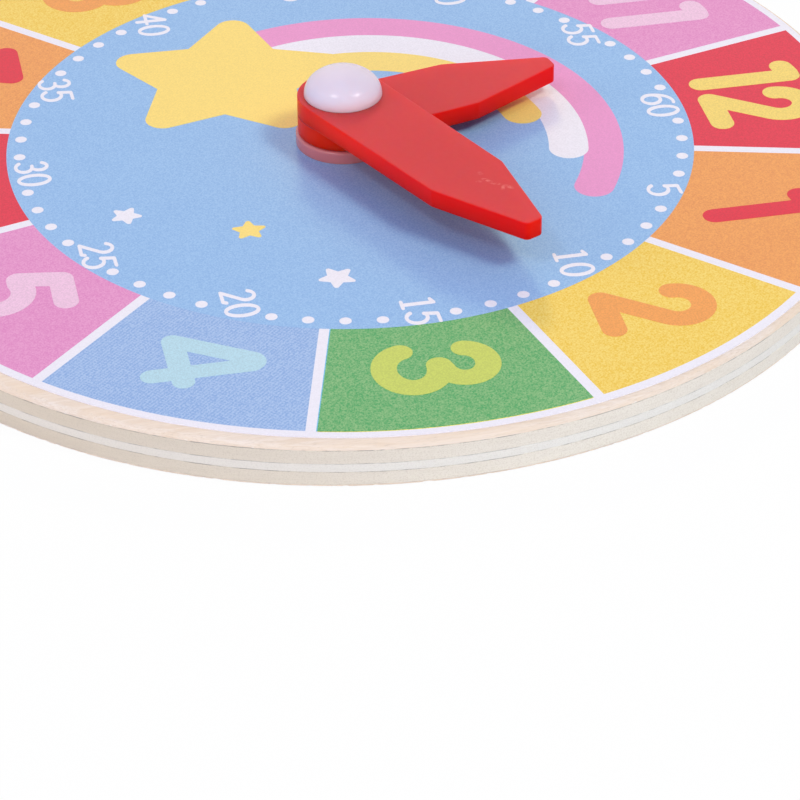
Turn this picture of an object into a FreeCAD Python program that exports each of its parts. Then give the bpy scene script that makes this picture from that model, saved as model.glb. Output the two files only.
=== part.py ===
import FreeCAD, Part
import math
import os

# A wooden teaching clock with two coloured hands and a small hidden gear train.
# The board lies on its back: the middle of its back face is the origin, +Z comes out
# of the dial, +Y points to twelve o'clock and +X to three o'clock. Sizes in millimetres.

# Plies of the board, named from the front
board_radius = 75.0
face_veneer_thickness = 0.8
upper_core_thickness = 2.0
centre_ply_thickness = 1.25
lower_core_thickness = 1.95
back_veneer_thickness = 0.4
front_edge_round = 0.9
back_edge_round = 0.5

# Printed sheet glued to the face, off centre towards twelve o'clock
print_radius = 73.5
print_thickness = 0.15
print_offset = 1.08

# Back cover, its rebate and its screws
cover_thickness = 1.0
cover_ledge = 5.0
cover_gap = 0.2
screw_count = 4
screw_first_angle = 45.0
screw_shank_radius = 1.0
screw_head_radius = 1.9
screw_head_height = 0.9
screw_length = 4.0
screw_sink = 0.1
screw_gap = 0.02
recess_width = 0.5
recess_length = 2.2
recess_depth = 0.6

# Gear train: pinion on the minute arbor, idler wheel and pinion, hour wheel
pinion_teeth = 12
idler_wheel_teeth = 36
idler_pinion_teeth = 12
hour_wheel_teeth = 48
drive_module = 0.75
pressure_angle = 25.0
tooth_thinning = 0.04
root_depth = 1.25
gear_thickness = 1.2
gear_layer_gap = 0.2
idler_direction = -90.0
pocket_side_gap = 0.75

# Washers between the wheels and what they turn against
thrust_washer_thickness = 0.25
thrust_washer_radius = 6.5
friction_washer_thickness = 0.25
friction_washer_radius = 3.6
rubbing_gap = 0.05

# Spindles, one inside the other
arbor_radius = 1.5
rear_pivot_radius = 1.0
rear_pivot_recess = 0.2
tube_wall = 1.05
bush_wall = 1.55
running_gap = 0.05
bush_flange_radius = 6.8
bush_flange_height = 1.8
bush_flange_round = 0.4
idler_pin_radius = 1.0
idler_pin_seat = 1.2
idler_hub_wall = 1.15

# Hands and the cap on top of them
hand_thickness = 2.8
hand_half_width = 6.15
hand_end_radius = 6.5
hand_gap = 0.1
hand_edge_round = 0.2
shoulder_round = 1.2
tip_half_width = 1.35
tip_round = 0.9
minute_hand_length = 43.0
minute_hand_shoulder = 28.3
minute_hand_angle = 64.4
hour_hand_length = 33.2
hour_hand_shoulder = 18.4
hour_hand_angle = -13.85
cap_radius = 5.55
cap_height = 3.95
cap_shoulder_round = 3.0
cap_socket_depth = 2.2

# Two places or sizes nearer than this are the same
same_place = 1e-6

# Levels above the back face, worked out from the stack of pieces
board_thickness = (back_veneer_thickness + lower_core_thickness + centre_ply_thickness
                   + upper_core_thickness + face_veneer_thickness)
dial_level = board_thickness + print_thickness
friction_washer_top = cover_thickness + friction_washer_thickness
drive_layer_low = friction_washer_top + rubbing_gap
drive_layer_high = drive_layer_low + gear_thickness
hour_layer_low = drive_layer_high + gear_layer_gap
hour_layer_high = hour_layer_low + gear_thickness
pocket_floor = hour_layer_high + rubbing_gap + thrust_washer_thickness
flange_level = dial_level + bush_flange_height
hour_hand_level = flange_level + hand_gap
minute_hand_level = hour_hand_level + hand_thickness + hand_gap
cap_level = minute_hand_level + hand_thickness

# Sizes across, worked out from the pieces that fit each other
tube_bore = arbor_radius + running_gap
tube_radius = tube_bore + tube_wall
bush_bore = tube_radius + running_gap
bush_radius = bush_bore + bush_wall
idler_bore = idler_pin_radius + running_gap
idler_hub_radius = idler_bore + idler_hub_wall
centre_distance = drive_module * (pinion_teeth + idler_wheel_teeth) / 2
hour_module = 2 * centre_distance / (idler_pinion_teeth + hour_wheel_teeth)
idler_tip_radius = drive_module * (idler_wheel_teeth / 2 + 1)
pocket_radius = centre_distance + idler_tip_radius + pocket_side_gap
rebate_radius = pocket_radius + cover_ledge
cover_radius = rebate_radius - cover_gap
screw_circle_radius = pocket_radius + cover_ledge / 2
above_everything = cap_level + cap_height

ORIGIN = FreeCAD.Vector(0, 0, 0)
UP = FreeCAD.Vector(0, 0, 1)


def around(radius, degrees, level=0.0):
    """A point at a radius and an angle, counted anticlockwise from +X."""
    turn = math.radians(degrees)
    return FreeCAD.Vector(radius * math.cos(turn), radius * math.sin(turn), level)


idler_centre = around(centre_distance, idler_direction)


def disc(radius, low, high, centre=ORIGIN):
    """A round plate between two levels."""
    return Part.makeCylinder(radius, high - low, centre + FreeCAD.Vector(0, 0, low))


def ring(radius, bore, low, high, centre=ORIGIN):
    """A round plate with a hole through it."""
    return disc(radius, low, high, centre).cut(disc(bore, low, high, centre))


def turned(profile, centre=ORIGIN):
    """A solid of revolution from (radius, level) corners."""
    corners = [FreeCAD.Vector(radius, 0, level) for radius, level in profile]
    face = Part.Face(Part.makePolygon(corners + corners[:1]))
    solid = face.revolve(ORIGIN, UP, 360)
    return solid.translated(centre)


def rim_edges(solid, radius, level):
    """The round edges of a solid that have this radius and lie at this level."""
    found = []
    for edge in solid.Edges:
        if isinstance(edge.Curve, Part.Circle):
            same_radius = abs(edge.Curve.Radius - radius) < same_place
            if same_radius and abs(edge.Curve.Center.z - level) < same_place:
                found.append(edge)
    return found


def screw_places():
    """The screw centres, evenly round the ledge."""
    step = 360.0 / screw_count
    return [around(screw_circle_radius, screw_first_angle + index * step)
            for index in range(screw_count)]


def screw_form(place, grow):
    """A countersunk screw without its recess, made wider all round by grow."""
    head_end = screw_sink + screw_head_height
    return turned([
        (0, screw_sink),
        (screw_head_radius + grow, screw_sink),
        (screw_shank_radius + grow, head_end),
        (screw_shank_radius + grow, screw_length + grow),
        (0, screw_length + grow),
    ], place)


def board_blank():
    """The glued board with its rounded edges, pocket, rebate and holes."""
    blank = disc(board_radius, 0, board_thickness)
    blank = blank.makeFillet(front_edge_round, rim_edges(blank, board_radius, board_thickness))
    blank = blank.makeFillet(back_edge_round, rim_edges(blank, board_radius, 0))
    hollow = disc(rebate_radius, 0, cover_thickness)
    hollow = hollow.fuse(disc(pocket_radius, 0, pocket_floor))
    hollow = hollow.fuse(disc(bush_radius, 0, board_thickness))
    hollow = hollow.fuse(disc(idler_pin_radius, 0, pocket_floor + idler_pin_seat, idler_centre))
    for place in screw_places():
        hollow = hollow.fuse(screw_form(place, screw_gap))
    return blank.cut(hollow)


def plies():
    """The board cut into its glued layers, from the back to the front."""
    blank = board_blank()
    layers = [
        ("back_veneer", back_veneer_thickness),
        ("lower_core_ply", lower_core_thickness),
        ("centre_ply", centre_ply_thickness),
        ("upper_core_ply", upper_core_thickness),
        ("face_veneer", face_veneer_thickness),
    ]
    made = {}
    low = 0.0
    for name, thickness in layers:
        made[name] = blank.common(disc(2 * board_radius, low, low + thickness))
        low += thickness
    return made


def dial_print():
    """The printed sheet, trimmed where the board's edge is rounded, with the bush's hole."""
    sheet = disc(print_radius, board_thickness, dial_level, FreeCAD.Vector(0, print_offset, 0))
    sheet = sheet.common(disc(board_radius - front_edge_round, board_thickness, dial_level))
    return sheet.cut(disc(bush_radius, board_thickness, dial_level))


def back_cover():
    """The plate over the pocket, with the rear bearing, the pin seat and the screw holes."""
    cover = disc(cover_radius, 0, cover_thickness)
    cover = cover.cut(disc(rear_pivot_radius + running_gap, 0, cover_thickness))
    cover = cover.cut(disc(idler_pin_radius, 0, cover_thickness, idler_centre))
    for place in screw_places():
        head_opening = disc(screw_head_radius + screw_gap, 0, screw_sink, place)
        cover = cover.cut(head_opening.fuse(screw_form(place, screw_gap)))
    return cover


def cover_screws():
    """The countersunk screws that hold the cover, each with a cross recess."""
    screws = []
    for place in screw_places():
        screw = screw_form(place, 0.0)
        for along, across in ((recess_length, recess_width), (recess_width, recess_length)):
            corner = place + FreeCAD.Vector(-along / 2, -across / 2, 0)
            screw = screw.cut(Part.makeBox(along, across, screw_sink + recess_depth, corner))
        screws.append(screw)
    return Part.makeCompound(screws)


def centre_bush():
    """The flanged bush pressed through the board, which the hour tube turns in."""
    barrel = disc(bush_radius, pocket_floor, flange_level)
    flange = disc(bush_flange_radius, dial_level, flange_level)
    flange = flange.makeFillet(bush_flange_round,
                               rim_edges(flange, bush_flange_radius, flange_level))
    return barrel.fuse(flange).removeSplitter().cut(disc(bush_bore, pocket_floor, flange_level))


def minute_arbor():
    """The spindle of the minute hand, with a thinner pivot in the cover."""
    return turned([
        (0, rear_pivot_recess),
        (rear_pivot_radius, rear_pivot_recess),
        (rear_pivot_radius, drive_layer_low),
        (arbor_radius, drive_layer_low),
        (arbor_radius, cap_level + cap_socket_depth),
        (0, cap_level + cap_socket_depth),
    ])


def flank_point(pitch_radius, base_radius, radius, half_tooth, side, tooth_angle):
    """A point of an involute flank, on one side of a tooth."""
    def involute(turn):
        return math.tan(turn) - turn
    rise = involute(math.acos(min(1.0, base_radius / radius)))
    spread = half_tooth + involute(math.radians(pressure_angle)) - rise
    return around(radius, tooth_angle + side * math.degrees(spread))


def gear(teeth, module, bore, low, high, first_tooth, centre=ORIGIN):
    """A spur gear with involute flanks; first_tooth is the angle of one tooth's middle."""
    pitch_radius = module * teeth / 2
    base_radius = pitch_radius * math.cos(math.radians(pressure_angle))
    tip_radius = pitch_radius + module
    root_radius = pitch_radius - root_depth * module
    flank_start = max(base_radius, root_radius)
    flank_middle = (flank_start + tip_radius) / 2
    half_tooth = math.pi / (2 * teeth) - tooth_thinning / pitch_radius
    pitch_angle = 360.0 / teeth

    def flank(radius, side, tooth_angle):
        return flank_point(pitch_radius, base_radius, radius, half_tooth, side, tooth_angle)

    def root_of(point):
        return around(root_radius, math.degrees(math.atan2(point.y, point.x)))

    edges = []
    for index in range(teeth):
        angle = first_tooth + index * pitch_angle
        rising = [flank(radius, -1, angle) for radius in (flank_start, flank_middle, tip_radius)]
        falling = [flank(radius, 1, angle) for radius in (tip_radius, flank_middle, flank_start)]
        next_start = flank(flank_start, -1, angle + pitch_angle)
        edges.append(Part.Arc(*rising).toShape())
        edges.append(Part.Arc(rising[2], around(tip_radius, angle), falling[0]).toShape())
        edges.append(Part.Arc(*falling).toShape())
        root_middle = around(root_radius, angle + pitch_angle / 2)
        if base_radius > root_radius:
            edges.append(Part.LineSegment(falling[2], root_of(falling[2])).toShape())
            edges.append(Part.Arc(root_of(falling[2]), root_middle, root_of(next_start)).toShape())
            edges.append(Part.LineSegment(root_of(next_start), next_start).toShape())
        else:
            edges.append(Part.Arc(falling[2], root_middle, next_start).toShape())
    outline = Part.Face(Part.Wire(edges))
    blank = outline.extrude(FreeCAD.Vector(0, 0, high - low))
    blank.translate(centre + FreeCAD.Vector(0, 0, low))
    return blank.cut(disc(bore, low, high, centre))


def gap_facing(teeth, direction):
    """The first tooth's angle that turns a gap between teeth towards a direction."""
    return direction + 180.0 / teeth


def drive_pinion():
    """The pinion pressed on the minute arbor."""
    return gear(pinion_teeth, drive_module, arbor_radius, drive_layer_low, drive_layer_high,
                idler_direction)


def idler_wheel():
    """The large wheel of the idler, driven by the drive pinion."""
    return gear(idler_wheel_teeth, drive_module, idler_hub_radius, drive_layer_low,
                drive_layer_high, gap_facing(idler_wheel_teeth, idler_direction + 180),
                idler_centre)


def idler_pinion():
    """The small gear of the idler, on the hub that carries the idler wheel."""
    teeth = gear(idler_pinion_teeth, hour_module, idler_bore, drive_layer_high, hour_layer_high,
                 gap_facing(idler_pinion_teeth, idler_direction + 180), idler_centre)
    hub = ring(idler_hub_radius, idler_bore, drive_layer_low, drive_layer_high, idler_centre)
    return teeth.fuse(hub).removeSplitter()


def idler_pin():
    """The fixed pin that the idler turns on, held by the board and the cover."""
    return disc(idler_pin_radius, rear_pivot_recess, pocket_floor + idler_pin_seat, idler_centre)


def hour_wheel():
    """The wheel that turns the hour tube."""
    return gear(hour_wheel_teeth, hour_module, tube_radius, hour_layer_low, hour_layer_high,
                idler_direction)


def hour_tube():
    """The tube round the minute arbor that carries the hour hand."""
    return ring(tube_radius, tube_bore, hour_layer_low, hour_hand_level + hand_thickness)


def thrust_washer():
    """The washer between the hour wheel and the floor of the pocket."""
    return ring(thrust_washer_radius, bush_bore, pocket_floor - thrust_washer_thickness,
                pocket_floor)


def friction_washer():
    """The washer on the cover that makes the hands stay where they are put."""
    return ring(friction_washer_radius, rear_pivot_radius + running_gap, cover_thickness,
                friction_washer_top)


def rounded_corner(before, corner, after, radius):
    """The two ends and the middle of the arc that rounds one corner of an outline."""
    to_before = (before - corner).normalize()
    to_after = (after - corner).normalize()
    half_angle = to_before.getAngle(to_after) / 2
    reach = radius / math.tan(half_angle)
    inward = (to_before + to_after).normalize()
    middle = corner + inward * (radius / math.sin(half_angle) - radius)
    return corner + to_before * reach, middle, corner + to_after * reach


def hand(length, shoulder, clock_angle, bore, low):
    """A flat hand: a round end, sides that draw in to the shoulders and a blunt point."""
    wide = hand_half_width
    touch = (math.atan2(wide, shoulder)
             + math.acos(hand_end_radius / math.hypot(shoulder, wide)))
    end_across = hand_end_radius * math.cos(touch)
    end_up = hand_end_radius * math.sin(touch)
    sides = [
        FreeCAD.Vector(end_across, -end_up, 0),
        FreeCAD.Vector(shoulder, -wide, 0),
        FreeCAD.Vector(length, -tip_half_width, 0),
        FreeCAD.Vector(length, tip_half_width, 0),
        FreeCAD.Vector(shoulder, wide, 0),
        FreeCAD.Vector(end_across, end_up, 0),
    ]
    radii = [shoulder_round, tip_round, tip_round, shoulder_round]
    edges = []
    last = sides[0]
    for index, radius in enumerate(radii, start=1):
        start, middle, end = rounded_corner(sides[index - 1], sides[index], sides[index + 1],
                                            radius)
        edges.append(Part.LineSegment(last, start).toShape())
        edges.append(Part.Arc(start, middle, end).toShape())
        last = end
    edges.append(Part.LineSegment(last, sides[-1]).toShape())
    edges.append(Part.Arc(sides[-1], FreeCAD.Vector(-hand_end_radius, 0, 0),
                          sides[0]).toShape())
    blade = Part.Face(Part.Wire(edges)).extrude(FreeCAD.Vector(0, 0, hand_thickness))
    flat_edges = [edge for edge in blade.Edges
                  if edge.BoundBox.ZLength < same_place]
    blade = blade.makeFillet(hand_edge_round, flat_edges)
    blade = blade.cut(disc(bore, 0, hand_thickness))
    blade.rotate(ORIGIN, UP, 90.0 - clock_angle)
    blade.translate(FreeCAD.Vector(0, 0, low))
    return blade


def hour_hand():
    """The short hand, pressed on the hour tube."""
    return hand(hour_hand_length, hour_hand_shoulder, hour_hand_angle, tube_radius,
                hour_hand_level)


def minute_hand():
    """The long hand, pressed on the minute arbor."""
    return hand(minute_hand_length, minute_hand_shoulder, minute_hand_angle, arbor_radius,
                minute_hand_level)


def dome_cap():
    """The domed cap on the end of the minute arbor: a round shoulder and a flatter crown."""
    shoulder_centre = cap_radius - cap_shoulder_round
    crown_radius = ((shoulder_centre ** 2 + cap_height ** 2 - cap_shoulder_round ** 2)
                    / (2 * (cap_height - cap_shoulder_round)))
    join = math.degrees(math.atan2(crown_radius - cap_height, shoulder_centre))

    def profile_point(radius, degrees, across, level):
        turn = math.radians(degrees)
        return FreeCAD.Vector(across + radius * math.cos(turn), 0,
                              level + radius * math.sin(turn))

    def on_shoulder(degrees):
        return profile_point(cap_shoulder_round, degrees, shoulder_centre, 0)

    def on_crown(degrees):
        return profile_point(crown_radius, degrees, 0, cap_height - crown_radius)

    edges = [
        Part.LineSegment(ORIGIN, on_shoulder(0)).toShape(),
        Part.Arc(on_shoulder(0), on_shoulder(join / 2), on_shoulder(join)).toShape(),
        Part.Arc(on_crown(join), on_crown((join + 90) / 2), on_crown(90)).toShape(),
        Part.LineSegment(on_crown(90), ORIGIN).toShape(),
    ]
    dome = Part.Face(Part.Wire(edges)).revolve(ORIGIN, UP, 360)
    dome = dome.cut(disc(arbor_radius, 0, cap_socket_depth))
    return dome.translated(FreeCAD.Vector(0, 0, cap_level))


def all_pieces():
    """Every piece of the clock under its name."""
    pieces = plies()
    makers = [dial_print, back_cover, cover_screws, centre_bush, thrust_washer, friction_washer,
              idler_pin, idler_wheel, idler_pinion, minute_arbor, drive_pinion, minute_hand,
              dome_cap, hour_tube, hour_wheel, hour_hand]
    for maker in makers:
        pieces[maker.__name__] = maker()
    return pieces


os.makedirs("parts", exist_ok=True)
for name, piece in all_pieces().items():
    piece.exportStep("parts/" + name + ".step")
    print(name, "solids", len(piece.Solids), "volume", round(piece.Volume, 2),
          "valid", piece.isValid())
print("hour to minute ratio", pinion_teeth * idler_pinion_teeth
      / (idler_wheel_teeth * hour_wheel_teeth), "centre distance", centre_distance,
      "board", board_thickness, "top", above_everything)
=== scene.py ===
import math

import bpy
from mathutils import Euler, Matrix, Vector, noise
from mathutils.geometry import convex_hull_2d, delaunay_2d_cdt


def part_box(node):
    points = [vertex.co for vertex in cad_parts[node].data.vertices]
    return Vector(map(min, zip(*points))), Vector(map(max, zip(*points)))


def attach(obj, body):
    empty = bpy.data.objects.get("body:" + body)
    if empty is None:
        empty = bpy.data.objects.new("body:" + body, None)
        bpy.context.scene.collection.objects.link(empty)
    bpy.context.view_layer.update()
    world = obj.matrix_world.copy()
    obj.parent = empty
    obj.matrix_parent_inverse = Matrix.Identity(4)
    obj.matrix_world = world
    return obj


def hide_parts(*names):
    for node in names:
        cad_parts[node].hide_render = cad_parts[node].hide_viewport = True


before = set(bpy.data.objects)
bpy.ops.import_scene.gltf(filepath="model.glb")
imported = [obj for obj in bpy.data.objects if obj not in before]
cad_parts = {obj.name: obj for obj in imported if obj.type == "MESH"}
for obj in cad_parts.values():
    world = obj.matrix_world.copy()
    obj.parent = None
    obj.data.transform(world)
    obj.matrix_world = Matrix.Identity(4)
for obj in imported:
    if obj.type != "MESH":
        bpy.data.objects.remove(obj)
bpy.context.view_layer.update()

# A wooden teaching clock lying on its back, with a printed dial, two red hands and a milky cap.
# Lengths are in millimetres and turn into metres where a mesh is made. Angles on the dial are
# clock angles in degrees: 0 at twelve o'clock and 90 at three o'clock.
MM = 0.001
BOARD_BODY = "clock_board"


def corners(node):
    """The lowest and highest corners of a CAD node, in millimetres."""
    low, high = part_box(node)
    return low / MM, high / MM


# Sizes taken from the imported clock
PLIES = ["back_veneer", "lower_core_ply", "centre_ply", "upper_core_ply", "face_veneer"]
PLY_LEVELS = [corners(node)[0].z for node in PLIES] + [corners(PLIES[-1])[1].z]
BOARD_RADIUS = corners("lower_core_ply")[1].x
BOARD_TOP = PLY_LEVELS[-1]
DIAL_LEVEL = corners("dial_print")[1].z
PRINT_RADIUS = corners("dial_print")[1].x
PRINT_OFFSET = corners("dial_print")[0].y + PRINT_RADIUS
COVER_TOP = corners("back_cover")[1].z
COVER_RADIUS = corners("back_cover")[1].x
FLANGE_RADIUS = corners("centre_bush")[1].x
FLANGE_TOP = corners("centre_bush")[1].z
POCKET_FLOOR = corners("thrust_washer")[1].z
TUBE_RADIUS = corners("hour_tube")[1].x
ARBOR_RADIUS = corners("minute_arbor")[1].x
PIN_RADIUS = (corners("idler_pin")[1].x - corners("idler_pin")[0].x) / 2
PIN_TOP = corners("idler_pin")[1].z
PIN_PLACE = (corners("idler_pin")[0] + corners("idler_pin")[1]) / 2
SCREW_LOW = corners("cover_screws")[0].z
SCREW_TOP = corners("cover_screws")[1].z
CAP_RADIUS = corners("dome_cap")[1].x
CAP_LOW = corners("dome_cap")[0].z
CAP_HIGH = corners("dome_cap")[1].z

# Sizes that no box gives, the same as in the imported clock
FRONT_EDGE_ROUND = 0.9
BACK_EDGE_ROUND = 0.5
FLAT_RADIUS = BOARD_RADIUS - FRONT_EDGE_ROUND
COVER_GAP = 0.2
COVER_LEDGE = 5.0
BUSH_RADIUS = 4.2
BUSH_BORE = 2.65
FLANGE_ROUND = 0.4
BEARING_RADIUS = 1.05
SCREW_CIRCLE = 35.5
SCREW_COUNT = 4
SCREW_FIRST = 45.0
SCREW_HEAD_RADIUS = 1.9
SCREW_HEAD_HEIGHT = 0.9
SCREW_SHANK_RADIUS = 1.0
SCREW_GAP = 0.02
RECESS_LENGTH = 2.2
RECESS_WIDTH = 0.5
RECESS_DEPTH = 0.6
HAND_HALF_WIDTH = 6.15
HAND_END_RADIUS = 6.5
HAND_EDGE_ROUND = 0.2
HAND_SHOULDER_ROUND = 1.2
HAND_TIP_HALF_WIDTH = 1.35
HAND_TIP_ROUND = 0.9
MINUTE_LENGTH, MINUTE_SHOULDER, MINUTE_ANGLE = 43.0, 28.3, 64.4
HOUR_LENGTH, HOUR_SHOULDER, HOUR_ANGLE = 33.2, 18.4, -13.85
CAP_SHOULDER_ROUND = 3.0
CAP_SOCKET_DEPTH = 2.2

# The print: coloured sectors round a sky disc, all measured from the middle of the sheet
SECTOR_OUTER = 72.08
SKY_RADIUS = 48.8
FIELD_SHIFT = Vector((0.15, -0.15))
DIVIDER_WIDTH = 1.5
PASS_SHIFT = 0.14
HOUR_CIRCLE = 59.2
HOUR_STROKE = 3.4
THIN_STROKE = 3.0
MINUTE_CIRCLE = 45.5
DOT_CIRCLE = 47.07
DOT_RADIUS = 0.83
INK = 0.004
UNDER_INK = DIAL_LEVEL + 0.4 * INK
SECTOR_INK = DIAL_LEVEL + INK
SKY_INK = DIAL_LEVEL + 2 * INK
PINK_INK = DIAL_LEVEL + 3 * INK
WHITE_INK = DIAL_LEVEL + 4 * INK
GOLD_INK = DIAL_LEVEL + 5 * INK
STAR_INK = DIAL_LEVEL + 6 * INK
NUMBER_INK = DIAL_LEVEL + 7 * INK

# Fineness of round shapes. A loop of points one hold from an edge keeps the shading beside it flat.
BOARD_STEPS = 1440
DISC_STEPS = 360
SMALL_STEPS = 96
SMOOTH_ANGLE = math.radians(32)
HOLD = 0.04

# How far a cutter runs past what it cuts
CUT_BEYOND = 1

# Middles
SPINDLE = Vector((0.0, 0.0))
PRINT_MIDDLE = (0.0, PRINT_OFFSET)


def clock_point(radius, degrees, centre=PRINT_MIDDLE):
    """A point on the dial at a radius and a clock angle."""
    turn = math.radians(degrees)
    return Vector((centre[0] + radius * math.sin(turn), centre[1] + radius * math.cos(turn)))


def even(start, end, count):
    """Evenly spaced numbers from one to another, with so many steps between."""
    return [start + (end - start) * index / count for index in range(count + 1)]


def bow(across, up, wide, high, start, end, step=9.0):
    """Points along part of an ellipse, between two angles counted anticlockwise from the right."""
    count = max(2, round(abs(end - start) / step))
    turns = [math.radians(turn) for turn in even(start, end, count)]
    return [Vector((across + wide * math.cos(turn), up + high * math.sin(turn)))
            for turn in turns]


def circle(radius, level, steps, centre=SPINDLE):
    """The points of a level circle, or one point where the radius is nothing."""
    if radius == 0:
        return [Vector((centre[0], centre[1], level))]
    turns = [2 * math.pi * index / steps for index in range(steps)]
    return [Vector((centre[0] + radius * math.cos(turn), centre[1] + radius * math.sin(turn),
                    level)) for turn in turns]


# Meshes


def placed(name, data):
    """A new object in the scene."""
    piece = bpy.data.objects.new(name, data)
    bpy.context.scene.collection.objects.link(piece)
    return piece


def mesh_object(name, points, faces):
    """A new object from points in millimetres, smooth except at its sharp edges."""
    mesh = bpy.data.meshes.new(name)
    mesh.from_pydata([point * MM for point in points], [], faces)
    mesh.validate()
    soften(mesh)
    return placed(name, mesh)


def soften(mesh):
    """Shades a mesh smooth, with its sharp edges kept."""
    mesh.shade_smooth()
    mesh.set_sharp_from_angle(angle=SMOOTH_ANGLE)


def skin(name, loops, ring=False):
    """A closed skin over loops of points. A loop of one point is a pole; a ring joins its ends."""
    points, starts, faces = [], [], []
    for loop in loops:
        starts.append(len(points))
        points.extend(loop)
    pairs = list(zip(range(len(loops) - 1), range(1, len(loops))))
    if ring:
        pairs.append((len(loops) - 1, 0))
    for here, there in pairs:
        count = max(len(loops[here]), len(loops[there]))
        for index in range(count):
            after = (index + 1) % count
            low = [index, after] if len(loops[here]) > 1 else [0]
            high = [after, index] if len(loops[there]) > 1 else [0]
            faces.append([starts[here] + place for place in low]
                         + [starts[there] + place for place in high])
    return mesh_object(name, points, faces)


def turned(name, profile, steps=DISC_STEPS, ring=False, centre=SPINDLE):
    """A turned piece from (radius, level) points that run with the solid on their left."""
    return skin(name, [circle(radius, level, steps, centre) for radius, level in profile], ring)


def sheet_of(name, outlines, low, high):
    """A thin closed sheet between two levels, covering every outline given."""
    flat, rings = [], []
    for outline in outlines:
        rings.append(list(range(len(flat), len(flat) + len(outline))))
        flat.extend(outline)
    places, _, triangles, _, _, owners = delaunay_2d_cdt(flat, [], rings, 0, 1e-5)
    covered = [triangle for triangle, owner in zip(triangles, owners) if owner]
    sides = {}
    for triangle in covered:
        for index in range(3):
            edge = (triangle[index], triangle[(index + 1) % 3])
            if (edge[1], edge[0]) in sides:
                del sides[(edge[1], edge[0])]
            else:
                sides[edge] = True
    count = len(places)
    points = [Vector((place.x, place.y, high)) for place in places]
    points += [Vector((place.x, place.y, low)) for place in places]
    faces = [list(triangle) for triangle in covered]
    faces += [[count + place for place in reversed(triangle)] for triangle in covered]
    faces += [[second, first, count + first, count + second] for first, second in sides]
    used = sorted({place for face in faces for place in face})
    renumbered = {place: index for index, place in enumerate(used)}
    return mesh_object(name, [points[place] for place in used],
                       [[renumbered[place] for place in face] for face in faces])


def nib(half_width, half_height, steps=24):
    """The outline of a pen's nib."""
    return bow(0, 0, half_width, half_height, 0, 360 - 360 / steps, 360 / steps)


def drawn(strokes, pen, place=SPINDLE, turn=0.0, size=1.0):
    """What a pen covers as it follows strokes that are turned, sized and put in place."""
    spin = Matrix.Rotation(math.radians(-turn), 2) * size
    covered = []
    for stroke in strokes:
        path = [place + spin @ Vector(point) for point in stroke]
        for start, end in zip(path, path[1:]):
            cloud = [start + point for point in pen] + [end + point for point in pen]
            covered.append([cloud[index] for index in convex_hull_2d(cloud)])
    return covered


def cut_holes(piece, cutter):
    """Takes the cutter's shape out of a piece, and the cutter away."""
    modifier = piece.modifiers.new("holes", "BOOLEAN")
    modifier.operation = "DIFFERENCE"
    modifier.solver = "EXACT"
    modifier.object = cutter
    made = baked(piece)
    remove(cutter)
    return made


def baked(piece):
    """Turns what the modifiers of a piece make into its own plain mesh."""
    depsgraph = bpy.context.evaluated_depsgraph_get()
    mesh = bpy.data.meshes.new_from_object(piece.evaluated_get(depsgraph))
    piece.modifiers.clear()
    piece.data = mesh
    mesh.name = piece.name
    soften(mesh)
    return piece


def remove(piece):
    """Deletes a helper object."""
    bpy.data.objects.remove(piece)


def joined(name, pieces):
    """One object from several, which go."""
    points, faces = [], []
    for piece in pieces:
        start = len(points)
        points += [vertex.co / MM for vertex in piece.data.vertices]
        faces += [[start + index for index in face.vertices] for face in piece.data.polygons]
        remove(piece)
    return mesh_object(name, points, faces)


def finished(piece, body, slot, material, *nodes):
    """Gives a piece its material and its body, and hides the CAD nodes that it stands for. The slot
    is not used.
    """
    piece.data.materials.clear()
    piece.data.materials.append(material)
    if nodes:
        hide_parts(*nodes)
    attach(piece, body)


# Materials


def sum_with(operation, reflected=False):
    """An operator of Value: what it does with the value and what stands beside it."""
    def work(value, other=0.0):
        first, second = (other, value) if reflected else (value, other)
        return value.maker.maths(operation, first, second)
    return work


class Value:
    """A number or colour that changes over a surface, for use in expressions."""

    def __init__(self, maker, socket):
        self.maker = maker
        self.socket = socket

    __abs__ = sum_with("ABSOLUTE")
    __add__ = sum_with("ADD")
    __radd__ = sum_with("ADD", reflected=True)
    __sub__ = sum_with("SUBTRACT")
    __rsub__ = sum_with("SUBTRACT", reflected=True)
    __mul__ = sum_with("MULTIPLY")
    __rmul__ = sum_with("MULTIPLY", reflected=True)

    def kept(self):
        """The value held between nothing and one."""
        return self.maker.maths("ADD", self, use_clamp=True)


class Nodes:
    """A tree of nodes, and the one method that makes them."""

    def node(self, kind, inputs=None, output=0, **settings):
        """A node of a kind, with its settings and the values or links of its sockets."""
        made = self.tree.nodes.new(kind)
        for key, value in settings.items():
            setattr(made, key, value)
        for key, value in (inputs or {}).items():
            if isinstance(value, Value):
                self.tree.links.new(value.socket, made.inputs[key])
            else:
                made.inputs[key].default_value = value
        return None if output is None else Value(self, made.outputs[output])

    def maths(self, operation, first, second=0.0, **settings):
        return self.node("ShaderNodeMath", {0: first, 1: second}, operation=operation, **settings)

    def blend(self, amount, first, second):
        """A colour between two, by an amount."""
        first, second = [colour if isinstance(colour, Value) else (*colour, 1.0)
                         for colour in (first, second)]
        return self.node("ShaderNodeMix", {"Factor": amount, 6: first, 7: second}, 2,
                         data_type="RGBA")


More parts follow.
